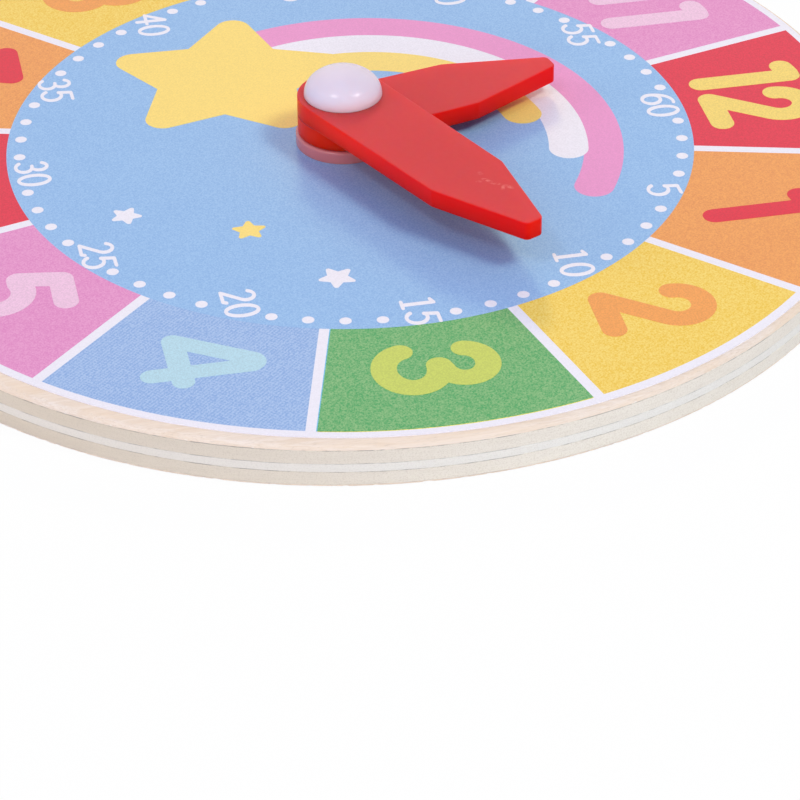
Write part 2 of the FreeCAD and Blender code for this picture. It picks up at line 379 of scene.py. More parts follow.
class Finish(Nodes):
    """A material on Object coordinates."""

    def __init__(self, name):
        self.material = bpy.data.materials.new(name)
        self.material.use_nodes = True
        self.tree = self.material.node_tree
        self.tree.nodes.clear()
        self.place = self.node("ShaderNodeTexCoord", output="Object")

    def parts(self, place):
        """The three parts of a place."""
        return [self.node("ShaderNodeSeparateXYZ", {0: place}, axis) for axis in "XYZ"]

    def height(self):
        """The height over the board's back, in millimetres."""
        return self.parts(self.place)[2] * (1 / MM)

    def stretched(self, place, scale):
        """A place multiplied along each axis, or by one number along all three."""
        scales = scale if isinstance(scale, tuple) else (scale, scale, scale)
        return self.node("ShaderNodeVectorMath", {0: place, 1: scales}, operation="MULTIPLY")

    def specks(self, scale, detail=2.0, rough=0.5, warp=0.0):
        """Noise from nothing to one, at so many grains to the metre along each axis."""
        return self.node("ShaderNodeTexNoise", {
            "Vector": self.stretched(self.place, scale), "Scale": 1.0, "Detail": detail,
            "Roughness": rough, "Distortion": warp})

    def step(self, value, low, high):
        """A soft step from nothing at low to one at high."""
        return self.node("ShaderNodeMapRange", {"Value": value, "From Min": low,
                                                "From Max": high},
                         interpolation_type="SMOOTHSTEP")

    def surface(self, colour, rough, relief, depth, **others):
        """Ends the material in a Principled shader, whose relief is so many millimetres deep.

        An underscore in the name of another socket stands for a space.
        """
        bump = self.node("ShaderNodeBump", {"Height": relief, "Distance": depth * MM,
                                            "Strength": 1.0})
        inputs = {"Base Color": colour, "Roughness": rough, "Normal": bump}
        inputs.update({key.replace("_", " "): value for key, value in others.items()})
        shader = self.node("ShaderNodeBsdfPrincipled", inputs, subsurface_method="RANDOM_WALK")
        self.node("ShaderNodeOutputMaterial", {"Surface": shader}, None)
        return self.material


def linear(red, green, blue):
    """A colour for a shader, from its screen values out of 255."""
    def part(value):
        value /= 255.0
        return value / 12.92 if value <= 0.04045 else ((value + 0.055) / 1.055) ** 2.4
    return part(red), part(green), part(blue)


def shade_of(colour, amount):
    """A colour made darker or lighter."""
    return tuple(min(1.0, part * amount) for part in colour)


# Finishes

# The printing screen: how far apart its lines are, and their turn in degrees
SCREEN_PITCH = 0.475
SCREEN_TURN = -44.5

# How far the colour of an ink swings, as a share of it
INK_GRAIN = 0.16
WHITE_GRAIN = 0.03
NUMBER_GRAIN = 0.08
TRAIL_GRAIN = 0.05
SMALL_STAR_GRAIN = 0.04

# The edge: glue lines from the lowest up, the painted glints over the top one, and the clock angle
# of the side of the inner plies that painted shade darkens
GLUE_STRENGTHS = (0.3, 0.6, 0.45, 0.65)
GLINT_LEVEL = PLY_LEVELS[-2] + 0.1
SHADED_SIDE_CLOCK = 168.0


def ink(name, red, green, blue, contrast=INK_GRAIN, screened=0.05, spread=(1.0, 1.0, 1.0)):
    """A printed colour under satin varnish, with the fine lines of the printing screen.

    Spread is how much of the contrast each of red, green and blue shows.
    """
    finish = Finish(name)
    turned_place = finish.node("ShaderNodeVectorRotate", {
        "Vector": finish.place, "Rotation": Euler((0.0, 0.0, math.radians(SCREEN_TURN)))},
        rotation_type="EULER_XYZ")
    turns = finish.stretched(turned_place, 2 * math.pi / (SCREEN_PITCH * MM))
    across, along = finish.parts(turns)[:2]
    lines = finish.maths("SINE", across) + finish.maths("SINE", along) * 0.5
    mottle = finish.specks((4200, 4700, 4200), 1.0, 0.6)
    cloud = finish.specks(120)
    amount = (lines * screened + mottle * 3.0 + cloud * 0.3 - 1.15).kept()
    colour = linear(red, green, blue)
    darker, lighter = [[min(1.0, part * (1 + swing * share)) for part, share in zip(colour, spread)]
                       for swing in (-contrast, contrast)]
    printed_colour = finish.blend(amount, darker, lighter)
    return finish.surface(printed_colour, mottle * 0.1 + 0.33, mottle, 0.004)


def glued(finish, colour, glue_colour):
    """A colour with the broken glue lines between the plies drawn over it."""
    wander = finish.specks((500, 500, 90), 3.0, 0.6) - 0.5
    breaks = finish.step(finish.specks((330, 330, 60), 3.0, 0.65), 0.36, 0.62)
    height = finish.height()
    for level, strength in zip(PLY_LEVELS[1:-1], GLUE_STRENGTHS):
        gap = abs(height - (wander * 0.09 + level))
        dark = (1 - finish.step(gap, 0.015, 0.085)) * breaks * strength
        colour = finish.blend(dark.kept(), colour, glue_colour)
    return colour


def wood(name, light, dark, warm, pores, glint=0.0):
    """Sanded birch with its grain towards twelve o'clock, and painted white glints in a glossier
    band if it has glint.
    """
    finish = Finish(name)
    streaks = finish.specks((2100, 55, 7000), 4.0, 0.62, warp=0.3)
    figure = finish.specks((95, 9, 260), 3.0, 0.55, warp=0.8)
    fibres = finish.specks((6500, 520, 7500), 2.0, 0.6)
    stains = finish.specks((330, 120, 700))
    colour = finish.blend(finish.step(streaks, 0.3, 0.72), light, dark)
    colour = finish.blend(finish.step(figure, 0.35, 0.7) * 0.55, colour, warm)
    colour = finish.blend(finish.step(stains, 0.6, 0.72) * 0.4, colour, shade_of(warm, 0.9))
    colour = finish.blend(finish.step(fibres, 0.58, 0.7) * pores, colour, shade_of(dark, 0.7))
    colour = glued(finish, colour, linear(120, 110, 108))
    rough = streaks * 0.15 + 0.5
    if glint:
        # Painted highlights: small white glints, a little glossier, in a band just over the top glue
        # line.
        painted_glint_spots = finish.step(finish.specks((520, 520, 900), 3.0, 0.6), 0.6, 0.7)
        band = 1 - finish.step(abs(finish.height() - GLINT_LEVEL), 0.05, 0.16)
        glints = painted_glint_spots * band * glint
        colour = finish.blend(glints.kept(), colour, linear(255, 250, 244))
        rough = (rough - glints * 0.3).kept()
    return finish.surface(colour, rough, streaks * 0.5 + fibres * 0.5, 0.03)


def core_wood(name, light, beige):
    """The softer inner plies, with painted shade that makes the edge darker and browner towards one
    side.
    """
    finish = Finish(name)
    across, along = finish.parts(finish.place)[:2]
    turn = math.radians(SHADED_SIDE_CLOCK)
    towards = (across * math.sin(turn) + along * math.cos(turn)) * (1 / (BOARD_RADIUS * MM))
    # Painted shade: the edge turns beige and darker towards the shaded side.
    painted_side_shade = finish.step(towards, -0.05, 0.95)
    streaks = finish.specks((260, 260, 6200), 4.0, 0.6, warp=0.2)
    speckle = finish.specks((4600, 4600, 5600), 2.0, 0.65)
    broad = finish.specks((60, 60, 420))
    colour = finish.blend((painted_side_shade * 0.95 + broad * 0.35 - 0.15).kept(), light, beige)
    colour = finish.blend(finish.step(streaks, 0.42, 0.75) * 0.2, colour, shade_of(beige, 0.82))
    colour = finish.blend(finish.step(speckle, 0.45, 0.7) * 0.4, colour, shade_of(beige, 0.84))
    colour = glued(finish, colour, linear(112, 104, 104))
    relief = streaks * 0.5 + speckle * 0.5
    return finish.surface(colour, speckle * 0.15 + 0.6, relief, 0.04)


def scuff(finish, place, turn, half_length, half_width):
    """A soft oval mark on a surface that faces up, by its middle, clock angle and size."""
    inside = finish.node("ShaderNodeMapping", {
        "Vector": finish.place,
        "Location": (place.x * MM, place.y * MM, 0.0),
        "Rotation": Euler((0.0, 0.0, math.radians(90 - turn))),
        "Scale": (half_length * MM, half_width * MM, 1.0)}, vector_type="TEXTURE")
    distance = finish.node("ShaderNodeVectorMath", {0: inside}, "Value", operation="LENGTH")
    return 1 - finish.step(distance, 0.25, 1.0)


def red_plastic(name, top, scuffs=()):
    """Glossy red plastic that light gets into, with a painted orange glow near the round end, a
    painted sheen on top and handling marks.
    """
    finish = Finish(name)
    haze = finish.specks(70)
    grains = finish.specks(1400)
    across, along = finish.parts(finish.place)[:2]
    reach = finish.maths("SQRT", across * across + along * along)
    # Painted glow: orange near the round end, standing in for light that passes through the plastic.
    painted_hub_glow = 1 - finish.step(reach, HAND_END_RADIUS * MM, 3.5 * HAND_END_RADIUS * MM)
    clear = finish.blend(haze * 0.5 + grains * 0.2, linear(220, 12, 6), linear(226, 22, 10))
    clear = finish.blend(painted_hub_glow, clear, linear(255, 34, 0))
    # Painted sheen: the top is lighter and pinker, standing in for the reflection of the white
    # surroundings.
    painted_top_sheen = finish.blend(haze * 0.6 + grains * 0.3, linear(208, 58, 60), linear(216, 72, 74))
    colour = finish.blend(finish.step(finish.height(), top - HAND_EDGE_ROUND, top), clear, painted_top_sheen)
    rough = haze * 0.1 + 0.32
    broken = finish.step(finish.specks((1700, 1700, 300), 2.0, 0.6), 0.35, 0.62)
    for *form, strength in scuffs:
        mark = scuff(finish, *form) * strength * broken
        colour = finish.blend(mark.kept(), colour, linear(236, 150, 140))
        rough = rough + mark * 0.2
    return finish.surface(colour, rough, grains, 0.002, Subsurface_Weight=0.9,
                          Subsurface_Radius=(1.0, 0.05, 0.015), Subsurface_Scale=6.0 * MM,
                          Specular_IOR_Level=0.12)


def milky_plastic(name, cloudy, clear, painted_bounce_height):
    """Glossy milky plastic, cloudy inside, with painted red light from the hands up to a height, if
    one is given.
    """
    finish = Finish(name)
    cloud = finish.specks(260, 3.0)
    grains = finish.specks(2200)
    colour = finish.blend(cloud, cloudy, clear)
    if painted_bounce_height:
        # Painted red light: rosier towards the bottom, where the red hands throw their light.
        painted_bounce = 1 - finish.step(finish.height(), CAP_LOW, CAP_LOW + painted_bounce_height)
        colour = finish.blend(painted_bounce * 0.7, colour, linear(233, 202, 208))
    return finish.surface(colour, cloud * 0.05 + 0.2, grains, 0.0015, Subsurface_Weight=0.6,
                          Subsurface_Radius=(1.0, 0.8, 0.75), Subsurface_Scale=1.6 * MM)


def moulded_plastic(name, colour, grain=0.01):
    """A matt moulding with a fine eroded texture and slight clouding."""
    finish = Finish(name)
    cloud = finish.specks(90, 3.0)
    texture = finish.specks(3800, 2.0, 0.6)
    tint = finish.blend(cloud * 0.7 + texture * 0.3, shade_of(colour, 0.93), colour)
    return finish.surface(tint, texture * 0.12 + 0.42, texture, grain)


def turned_metal(name, colour, roughness):
    """Metal with fine marks round its axis."""
    finish = Finish(name)
    marks = finish.specks((900, 900, 9000))
    dust = finish.specks(1600)
    tint = finish.blend(marks * 0.5 + dust * 0.5, shade_of(colour, 0.88), colour)
    return finish.surface(tint, marks * 0.12 + roughness, marks, 0.002, Metallic=1.0)


def felt_cloth(name, colour):
    """Pressed felt with short tangled fibres."""
    finish = Finish(name)
    fibres = finish.specks(2800, 5.0, 0.8, warp=2.0)
    tint = finish.blend(fibres, shade_of(colour, 0.55), shade_of(colour, 1.4))
    return finish.surface(tint, 0.95, fibres, 0.08)


# The board

# The sanded edge: grooves along the glue, a slight waviness, and chips along the back. The waves and
# chips are so many to the millimetre.
GROOVE_DEPTH = 0.05
GROOVE_REACH = 0.07
WALL_STEP = 0.17
ROUND_STEPS = 8
UNEVENNESS = 0.035
WAVES_ROUND = 0.8
WAVES_UP = 3.0
CHIP_LIFT = 0.3
CHIPS_ROUND = 1.1
CHIP_RARITY = 0.12
CHIP_SEED = 40.0


def outer_radius(level):
    """The board's radius at a level, with its rounded edges."""
    for rounding, beyond in ((FRONT_EDGE_ROUND, level - (BOARD_TOP - FRONT_EDGE_ROUND)),
                             (BACK_EDGE_ROUND, BACK_EDGE_ROUND - level)):
        if beyond > 0:
            return BOARD_RADIUS - rounding + math.sqrt(max(0.0, rounding ** 2 - beyond ** 2))
    return BOARD_RADIUS


def wall_levels(low, high):
    """The levels at which a ply's outer edge has points, finer where the board is rounded."""
    levels = {low, high}
    for turn in even(0.0, math.pi / 2, ROUND_STEPS):
        levels.add(BACK_EDGE_ROUND * (1 - math.cos(turn)))
        levels.add(BOARD_TOP - FRONT_EDGE_ROUND * (1 - math.sin(turn)))
    straight_top = BOARD_TOP - FRONT_EDGE_ROUND
    count = round((straight_top - BACK_EDGE_ROUND) / WALL_STEP)
    levels.update(even(BACK_EDGE_ROUND, straight_top, count)[:-1])
    for boundary in PLY_LEVELS[1:-1]:
        levels.update((boundary - GROOVE_REACH, boundary + GROOVE_REACH))
    inside = sorted(level for level in levels if low <= level <= high)
    kept = [level for level in inside[1:-1] if min(level - low, high - level) > HOLD]
    return [low] + kept + [high]


def edge_loop(level):
    """One loop of the board's sanded edge, with glue grooves, chips and slight unevenness."""
    base = outer_radius(level)
    depth = 0.0
    for boundary in PLY_LEVELS[1:-1]:
        depth += GROOVE_DEPTH * max(0.0, 1 - abs(level - boundary) / GROOVE_REACH)
    low_share = max(0.0, 1 - level / PLY_LEVELS[1])
    points = []
    for index in range(BOARD_STEPS):
        turn = 2 * math.pi * index / BOARD_STEPS
        along = Vector((math.cos(turn), math.sin(turn), 0.0)) * BOARD_RADIUS
        wave = noise.noise(along * WAVES_ROUND + Vector((0, 0, level * WAVES_UP)))
        chip = noise.noise(along * CHIPS_ROUND + Vector((0, 0, CHIP_SEED))) - CHIP_RARITY
        radius = base - depth - UNEVENNESS * (0.5 + 0.5 * wave) * (level < BOARD_TOP)
        lift = max(0.0, chip) * CHIP_LIFT * low_share * (level > 0)
        points.append(Vector((radius * math.cos(turn), radius * math.sin(turn), level + lift)))
    return points


def ply(name, low, high, bore):
    """A ply from its sanded edge to its bore, whose (radius, level) points run downwards."""
    loops = [edge_loop(level) for level in wall_levels(low, high)]
    loops += [circle(radius, level, BOARD_STEPS) for radius, level in bore]
    return skin(name, loops, ring=True)


def drill(radius, low, high, centre):
    """A round bar that cuts a hole."""
    bar = [(0, low), (radius, low), (radius, high), (0, high)]
    return turned("drill", bar, SMALL_STEPS, centre=centre)


def screw_places():
    """The screw centres, evenly round the cover's ledge."""
    return [clock_point(SCREW_CIRCLE, 90 - SCREW_FIRST - 360 / SCREW_COUNT * index, SPINDLE)
            for index in range(SCREW_COUNT)]


def screw_holes(low, high):
    """The round shapes that the screws take out of the inner plies."""
    return [drill(SCREW_SHANK_RADIUS + SCREW_GAP, low, high, place) for place in screw_places()]


def board():
    """The five plies, glued one on the other."""
    veneer = (linear(243, 229, 216), linear(232, 213, 194), linear(240, 214, 184))
    finishes = {
        "face_veneer": wood("face veneer", *veneer, 0.35, 0.9),
        "back_veneer": wood("back veneer", *veneer, 0.45),
        "centre_ply": core_wood("centre ply", linear(238, 235, 227), linear(230, 222, 210)),
        "core_ply": core_wood("core ply", linear(239, 232, 219), linear(217, 203, 183)),
    }
    rebate = COVER_RADIUS + COVER_GAP
    pocket = rebate - COVER_LEDGE
    low = dict(zip(PLIES, PLY_LEVELS))
    high = dict(zip(PLIES, PLY_LEVELS[1:]))
    bores = {
        "back_veneer": [(rebate, high["back_veneer"]), (rebate, 0)],
        "lower_core_ply": [(pocket, high["lower_core_ply"]), (pocket, COVER_TOP),
                           (rebate, COVER_TOP), (rebate, low["lower_core_ply"])],
        "centre_ply": [(pocket, high["centre_ply"]), (pocket, low["centre_ply"])],
        "upper_core_ply": [(BUSH_RADIUS, high["upper_core_ply"]), (BUSH_RADIUS, POCKET_FLOOR),
                           (pocket, POCKET_FLOOR), (pocket, low["upper_core_ply"])],
        "face_veneer": [(FLAT_RADIUS - HOLD, BOARD_TOP), (BUSH_RADIUS, BOARD_TOP),
                        (BUSH_RADIUS, low["face_veneer"])],
    }
    for node in PLIES:
        piece = ply(node + "_wood", low[node], high[node], bores[node])
        if node in ("lower_core_ply", "centre_ply"):
            shanks = screw_holes(low[node] - CUT_BEYOND, high[node] + CUT_BEYOND)
            piece = cut_holes(piece, joined("shanks", shanks))
        if node == "upper_core_ply":
            seats = [drill(PIN_RADIUS, low[node], PIN_TOP, PIN_PLACE)]
            seats += screw_holes(low[node] - CUT_BEYOND, SCREW_TOP + SCREW_GAP)
            piece = cut_holes(piece, joined("seats", seats))
        slot = node if node in finishes else "core_ply"
        finished(piece, BOARD_BODY, slot, finishes[slot], node)


# The printed sheet and its inks

# For each colour: the sector, the numbers on it, and how its ink differs from a plain one
SECTOR_INKS = {
    "red": ((219, 41, 65), (240, 210, 109), {"spread": (0.6, 1.0, 1.0)}),
    "orange": ((234, 156, 83), (219, 36, 58), {"spread": (0.5, 1.0, 1.0)}),
    "yellow": ((241, 206, 93), (237, 158, 78), {"spread": (0.3, 0.8, 4.0)}),
    "green": ((109, 173, 108), (197, 208, 95),
              {"contrast": 0.35, "spread": (2.0, 0.5, 1.05)}),
    "blue": ((154, 183, 226), (180, 215, 228),
             {"contrast": 0.21, "screened": 0.26, "spread": (1.2, 0.8, 0.3)}),
    "pink": ((226, 146, 196), (237, 196, 221), {"spread": (0.35, 1.3, 0.5)}),
}
SKY = (148, 187, 230)
PRINT_WHITE = (238, 235, 244)


def half_turned(strokes):
    """Strokes turned upside down."""
    return [[-point for point in stroke] for stroke in strokes]


def line(*points):
    """A stroke that runs straight from point to point."""
    return [Vector(point) for point in points]


HOUR_SIX = [bow(0, -2.7, 3.9, 3.9, 0, 360), bow(2.4, -2.7, 6.3, 9.3, 95, 180)]
HOUR_DIGITS = {
    "0": [bow(0, 0, 3.3, 6.6, 0, 360)],
    "1": [line((-2.9, 6.35), (-1.2, 6.7), (0.0, 6.7), (0.0, -6.6))],
    "2": [bow(-0.35, 3.2, 3.4, 3.4, 180, -38) + line((-3.65, -6.55)),
          line((-3.65, -6.55), (3.7, -6.55))],
    "3": [bow(-0.1, 3.75, 3.4, 3.1, 168, -80) + line((-0.3, 0.45)),
          line((-0.3, 0.45)) + bow(0, -3.2, 4.2, 3.62, 85, -168)],
    "4": [line((2.69, -6.95), (2.69, 6.04)) + bow(1.84, 5.84, 0.85, 0.85, 16, 148)
          + line((-4.78, -3.1), (4.72, -3.1))],
    "5": [line((3.17, 6.67), (-2.46, 6.67), (-3.34, 1.09)),
          line((-3.34, 1.09)) + bow(-0.66, -2.57, 4.0, 3.97, 112, -130)],
    "6": HOUR_SIX,
    "7": [line((-3.7, 6.6), (3.7, 6.6), (-1.3, -6.6))],
    "8": [bow(0, 3.35, 3.0, 3.25, 0, 360), bow(0, -3.05, 3.75, 3.55, 0, 360)],
    "9": half_turned(HOUR_SIX),
}
HOUR_LAYOUT = {
    1: [("1", 1.4, 0.2)],
    2: [("2", 0.5, 1.2)],
    3: [("3", -0.25, -0.4)],
    4: [("4", -0.4, -0.1)],
    5: [("5", 0.8, -0.5)],
    6: [("6", 0.0, -0.2)],
    7: [("7", -2.0, -0.6)],
    8: [("8", 0.0, 0.0)],
    9: [("9", 0.0, 0.0)],
    10: [("1", -4.4, 0.0), ("0", 3.3, 0.0)],
    11: [("1", -3.2, 0.2), ("1", 4.4, 0.2)],
    12: [("1", -4.5, 0.2), ("2", 3.5, 0.2)],
}
MINUTE_DIGITS = {
    "0": [bow(0, 0, 1.25, 2.18, 0, 360)],
    "1": [line((0, -2.18), (0, 2.1)), line((-0.75, -2.18), (0.75, -2.18)),
          line((-0.8, 1.75), (0, 2.1))],
    "2": [bow(-0.05, 1.05, 1.1, 1.13, 160, -35) + line((-1.15, -2.1)),
          line((-1.2, -2.18), (1.1, -2.18), (1.3, -1.75))],
    "3": [bow(-0.1, 1.1, 1.0, 1.08, 155, -75) + line((-0.35, 0.1)),
          line((-0.35, 0.1)) + bow(-0.15, -1.05, 1.3, 1.15, 75, -150)],
    "4": [line((0.55, -2.18), (0.55, 2.1), (-1.35, -0.75), (1.35, -0.75))],
    "5": [line((-0.75, 2.05), (1.1, 2.1)), line((-0.75, 2.05), (-1.0, 0.25)),
          bow(-0.25, -0.8, 1.35, 1.4, 125, -150)],
    "6": [bow(0, -0.85, 1.25, 1.33, 0, 360), bow(1.0, -0.85, 2.25, 3.0, 80, 180)],
}
MINUTE_PLACES = {1: (0.0,), 2: (-1.8, 1.7)}
NARROW = 0.92
MINUTE_PEN = (0.4, 0.25)

# How far the sectors and their first passes run under the sky disc, the sky disc runs under the
# flange, and the sheet's rim is rounded
UNDER_SKY = 0.6
PASS_UNDER_SKY = 0.3
UNDER_FLANGE = 0.03
RIM_ROUND = 0.03
SECTOR_STEPS = 40
DOT_STEPS = 28
MINUTES = 60

# How far the drawing is from even: dividers in degrees, by the hour before them, and minute
# numbers across and up
DIVIDER_NUDGES = {11: 0.15, 0: 0.08, 1: 0.25, 2: 0.05}
MINUTE_NUDGES = {1: (0.17, 0.48), 2: (-0.78, 0.3), 3: (0.27, 0.39), 4: (-0.43, 0.12),
                 5: (0.54, -0.04)}


def sector_outline(hour, inner):
    """The outline of one hour's sector, with straight sides half a divider from the radius."""
    outline = []
    before = -15 + DIVIDER_NUDGES.get((hour - 1) % 12, 0.0)
    after = 15 + DIVIDER_NUDGES.get(hour % 12, 0.0)
    for radius, turns in ((inner, (before, after)), (SECTOR_OUTER, (after, before))):
        shift = math.degrees(math.asin(DIVIDER_WIDTH / 2 / radius))
        first, last = [turn - math.copysign(shift, turn) for turn in turns]
        outline += [clock_point(radius, 30 * hour + turn) + FIELD_SHIFT
                    for turn in even(first, last, SECTOR_STEPS)]
    return outline


def hour_outlines(hour):
    """What the rounded pen covers for one hour's number."""
    middle = clock_point(HOUR_CIRCLE, 30 * hour)
    covered = []
    for digit, across, up in HOUR_LAYOUT[hour]:
        strokes = HOUR_DIGITS[digit]
        half = (THIN_STROKE if digit == "4" else HOUR_STROKE) / 2
        pen = nib(half, half, steps=28)
        if hour > 9:
            strokes = [[Vector((point.x * NARROW, point.y)) for point in stroke]
                       for stroke in strokes]
        covered += drawn(strokes, pen, middle + Vector((across, up)))
    return covered


def minute_outlines():
    """What the flat pen covers for all the minute numbers."""
    pen = nib(*MINUTE_PEN, steps=20)
    covered = []
    for hour in range(1, 13):
        middle = clock_point(MINUTE_CIRCLE, 30 * hour) + Vector(MINUTE_NUDGES.get(hour, (0, 0)))
        digits = str(5 * hour)
        for digit, across in zip(digits, MINUTE_PLACES[len(digits)]):
            covered += drawn(MINUTE_DIGITS[digit], pen, middle + Vector((across, 0)))
    return covered


def printed(name, outlines, low, high, material):
    """One ink of the print."""
    finished(sheet_of(name, outlines, low, high), BOARD_BODY, "dial_print", material)


def trimmed_circle(radius, level, inset=0.0):
    """A circle round the middle of the print, trimmed where the board's edge is rounded."""
    trimmed = []
    for point in circle(radius - inset, level, DISC_STEPS * 2, PRINT_MIDDLE):
        share = min(1.0, (FLAT_RADIUS - inset) / math.hypot(point.x, point.y))
        trimmed.append(Vector((point.x * share, point.y * share, level)))
    return trimmed


def print_sheet():
    """The white sheet that carries the inks, with its hole for the bush."""
    loops = [trimmed_circle(PRINT_RADIUS, BOARD_TOP),
             trimmed_circle(PRINT_RADIUS, DIAL_LEVEL - RIM_ROUND),
             trimmed_circle(PRINT_RADIUS, DIAL_LEVEL, RIM_ROUND),
             circle(BUSH_RADIUS, DIAL_LEVEL, DISC_STEPS * 2),
             circle(BUSH_RADIUS, BOARD_TOP, DISC_STEPS * 2)]
    sheet = skin("printed_sheet", loops, ring=True)
    material = ink("print white", *PRINT_WHITE, WHITE_GRAIN)
    finished(sheet, BOARD_BODY, "dial_print", material, "dial_print")


def sectors():
    """The coloured sectors and their numbers, in six colours that repeat."""
    for index, (title, (colour, number_colour, grain)) in enumerate(SECTOR_INKS.items()):
        hours = [hour for hour in range(1, 13) if hour % 6 == index]
        outlines = [sector_outline(hour, SKY_RADIUS - UNDER_SKY) for hour in hours]
        material = ink("sector " + title, *colour, **grain)
        printed("sectors_" + title, outlines, DIAL_LEVEL, SECTOR_INK, material)
        numbers = [outline for hour in hours for outline in hour_outlines(hour)]
        material = ink("numbers on " + title, *number_colour, NUMBER_GRAIN)
        printed("hour_numbers_on_" + title, numbers, SECTOR_INK, NUMBER_INK, material)


def green_passes():
    """The blue and yellow passes under the green sectors, each printed a hair out of place."""
    for title, colour, shift in (("cyan", (110, 190, 225), Vector((0, -PASS_SHIFT))),
                                 ("yellow", (236, 226, 96), Vector((PASS_SHIFT, 0)))):
        outlines = [[point + shift for point in sector_outline(hour, SKY_RADIUS - PASS_UNDER_SKY)]
                    for hour in (3, 9)]
        printed("green_pass_" + title, outlines, DIAL_LEVEL, UNDER_INK, ink(title, *colour))


def sky_disc():
    """The blue disc inside the sectors, which runs up to the bush."""
    middle = Vector(PRINT_MIDDLE) + FIELD_SHIFT
    hole = FLANGE_RADIUS - UNDER_FLANGE
    loops = [circle(SKY_RADIUS, DIAL_LEVEL, DISC_STEPS, middle),
             circle(SKY_RADIUS, SKY_INK, DISC_STEPS, middle),
             circle(hole, SKY_INK, DISC_STEPS),
             circle(hole, DIAL_LEVEL, DISC_STEPS)]
    disc = skin("sky_disc", loops, ring=True)
    finished(disc, BOARD_BODY, "dial_print", ink("sky", *SKY, spread=(1.0, 0.7, 0.3)))


def rounded_star(centre, radius, waist, turn, corner):
    """The outlines of a star, one of whose rounded points is at the clock angle of the turn."""
    sizes = (radius - corner, waist - corner)
    star = [clock_point(sizes[index % 2], turn + 36 * index, centre) for index in range(10)][::-1]
    return [star] + drawn([star + star[:1]], nib(corner, corner))


STAR_PLACE = (25.5, 236.0)
STAR_SIZE = (17.5, 10.4)
STAR_TURN = 210.0
STAR_CORNER = 2.6
SMALL_STAR_WAIST = 0.55
SMALL_STAR_CORNER = 0.35
TRAIL_WIDTH = 5.6
TRAIL_STEPS = 60
TRAIL_BANDS = [
    ("pink", (231, 150, 200), 31.5, 36.5, 393.0, PINK_INK),
    ("white", PRINT_WHITE, 26.0, 31.0, 377.0, WHITE_INK),
    ("gold", (248, 220, 122), 20.5, 25.5, 356.0, GOLD_INK),
]
SMALL_STARS = [
    ("white", PRINT_WHITE, [(36.5, 104.0, 2.6), (37.0, 158.0, 2.2)]),
    ("gold", (248, 220, 122), [(28.0, 131.0, 2.4)]),
]


def picture():
    """A plain shooting star with a banded trail, and a few small stars."""
    pen = nib(TRAIL_WIDTH / 2, TRAIL_WIDTH / 2, steps=36)
    for title, colour, start_radius, end_radius, end_turn, level in TRAIL_BANDS:
        path = [clock_point(radius, turn)
                for radius, turn in zip(even(start_radius, end_radius, TRAIL_STEPS),
                                        even(STAR_PLACE[1], end_turn, TRAIL_STEPS))]
        material = ink("trail " + title, *colour, TRAIL_GRAIN)
        printed("trail_" + title, drawn([path], pen), SKY_INK, level, material)
    star = rounded_star(clock_point(*STAR_PLACE), *STAR_SIZE, STAR_TURN, STAR_CORNER)
    printed("shooting_star", star, SKY_INK, STAR_INK, ink("star", 248, 218, 118, TRAIL_GRAIN))
    for title, colour, stars in SMALL_STARS:
        outlines = []
        for radius, turn, size in stars:
            outlines += rounded_star(clock_point(radius, turn), size, size * SMALL_STAR_WAIST,
                                     turn, SMALL_STAR_CORNER)
        printed("small_stars_" + title, outlines, SKY_INK, WHITE_INK,
                ink("small stars " + title, *colour, SMALL_STAR_GRAIN))


class Pattern(Nodes):
    """Geometry nodes for what repeats, with named sizes in millimetres."""

    def __init__(self, name, sizes):
        self.name = name
        self.tree = bpy.data.node_groups.new(name, "GeometryNodeTree")
        sockets = self.tree.interface
        sockets.new_socket("Geometry", in_out="INPUT", socket_type="NodeSocketGeometry")
        self.values = {}
        for title, size in sizes.items():
            socket = sockets.new_socket(title, in_out="INPUT", socket_type="NodeSocketFloat")
            self.values[socket.identifier] = size * MM
        sockets.new_socket("Geometry", in_out="OUTPUT", socket_type="NodeSocketGeometry")

    def size(self, title):
        """One of the pattern's sizes."""
        return self.node("NodeGroupInput", output=title)

    def ring(self, count):
        """Points evenly round the pattern's circle."""
        return self.node("GeometryNodeMeshCircle",
                         {"Vertices": count, "Radius": self.size("Circle radius")})

    def repeated(self, shape, points):
        """The shape at each of the points."""
        return self.node("GeometryNodeInstanceOnPoints", {"Points": points, "Instance": shape})

    def moved(self, shape, change, amount):
        """The shape after a translation or a rotation."""
        return self.node("GeometryNodeTransform", {"Geometry": shape, change: amount})

    def made(self, shape, material):
        """The pattern's own object, as a plain mesh."""
        real = self.node("GeometryNodeRealizeInstances", {"Geometry": shape})
        dressed = self.node("GeometryNodeSetMaterial", {"Geometry": real, "Material": material})
        self.node("NodeGroupOutput", {"Geometry": dressed}, None)
        piece = placed(self.name, bpy.data.meshes.new(self.name))
        modifier = piece.modifiers.new(self.name, "NODES")
        modifier.node_group = self.tree
        for identifier, value in self.values.items():
            modifier[identifier] = value
        return baked(piece)


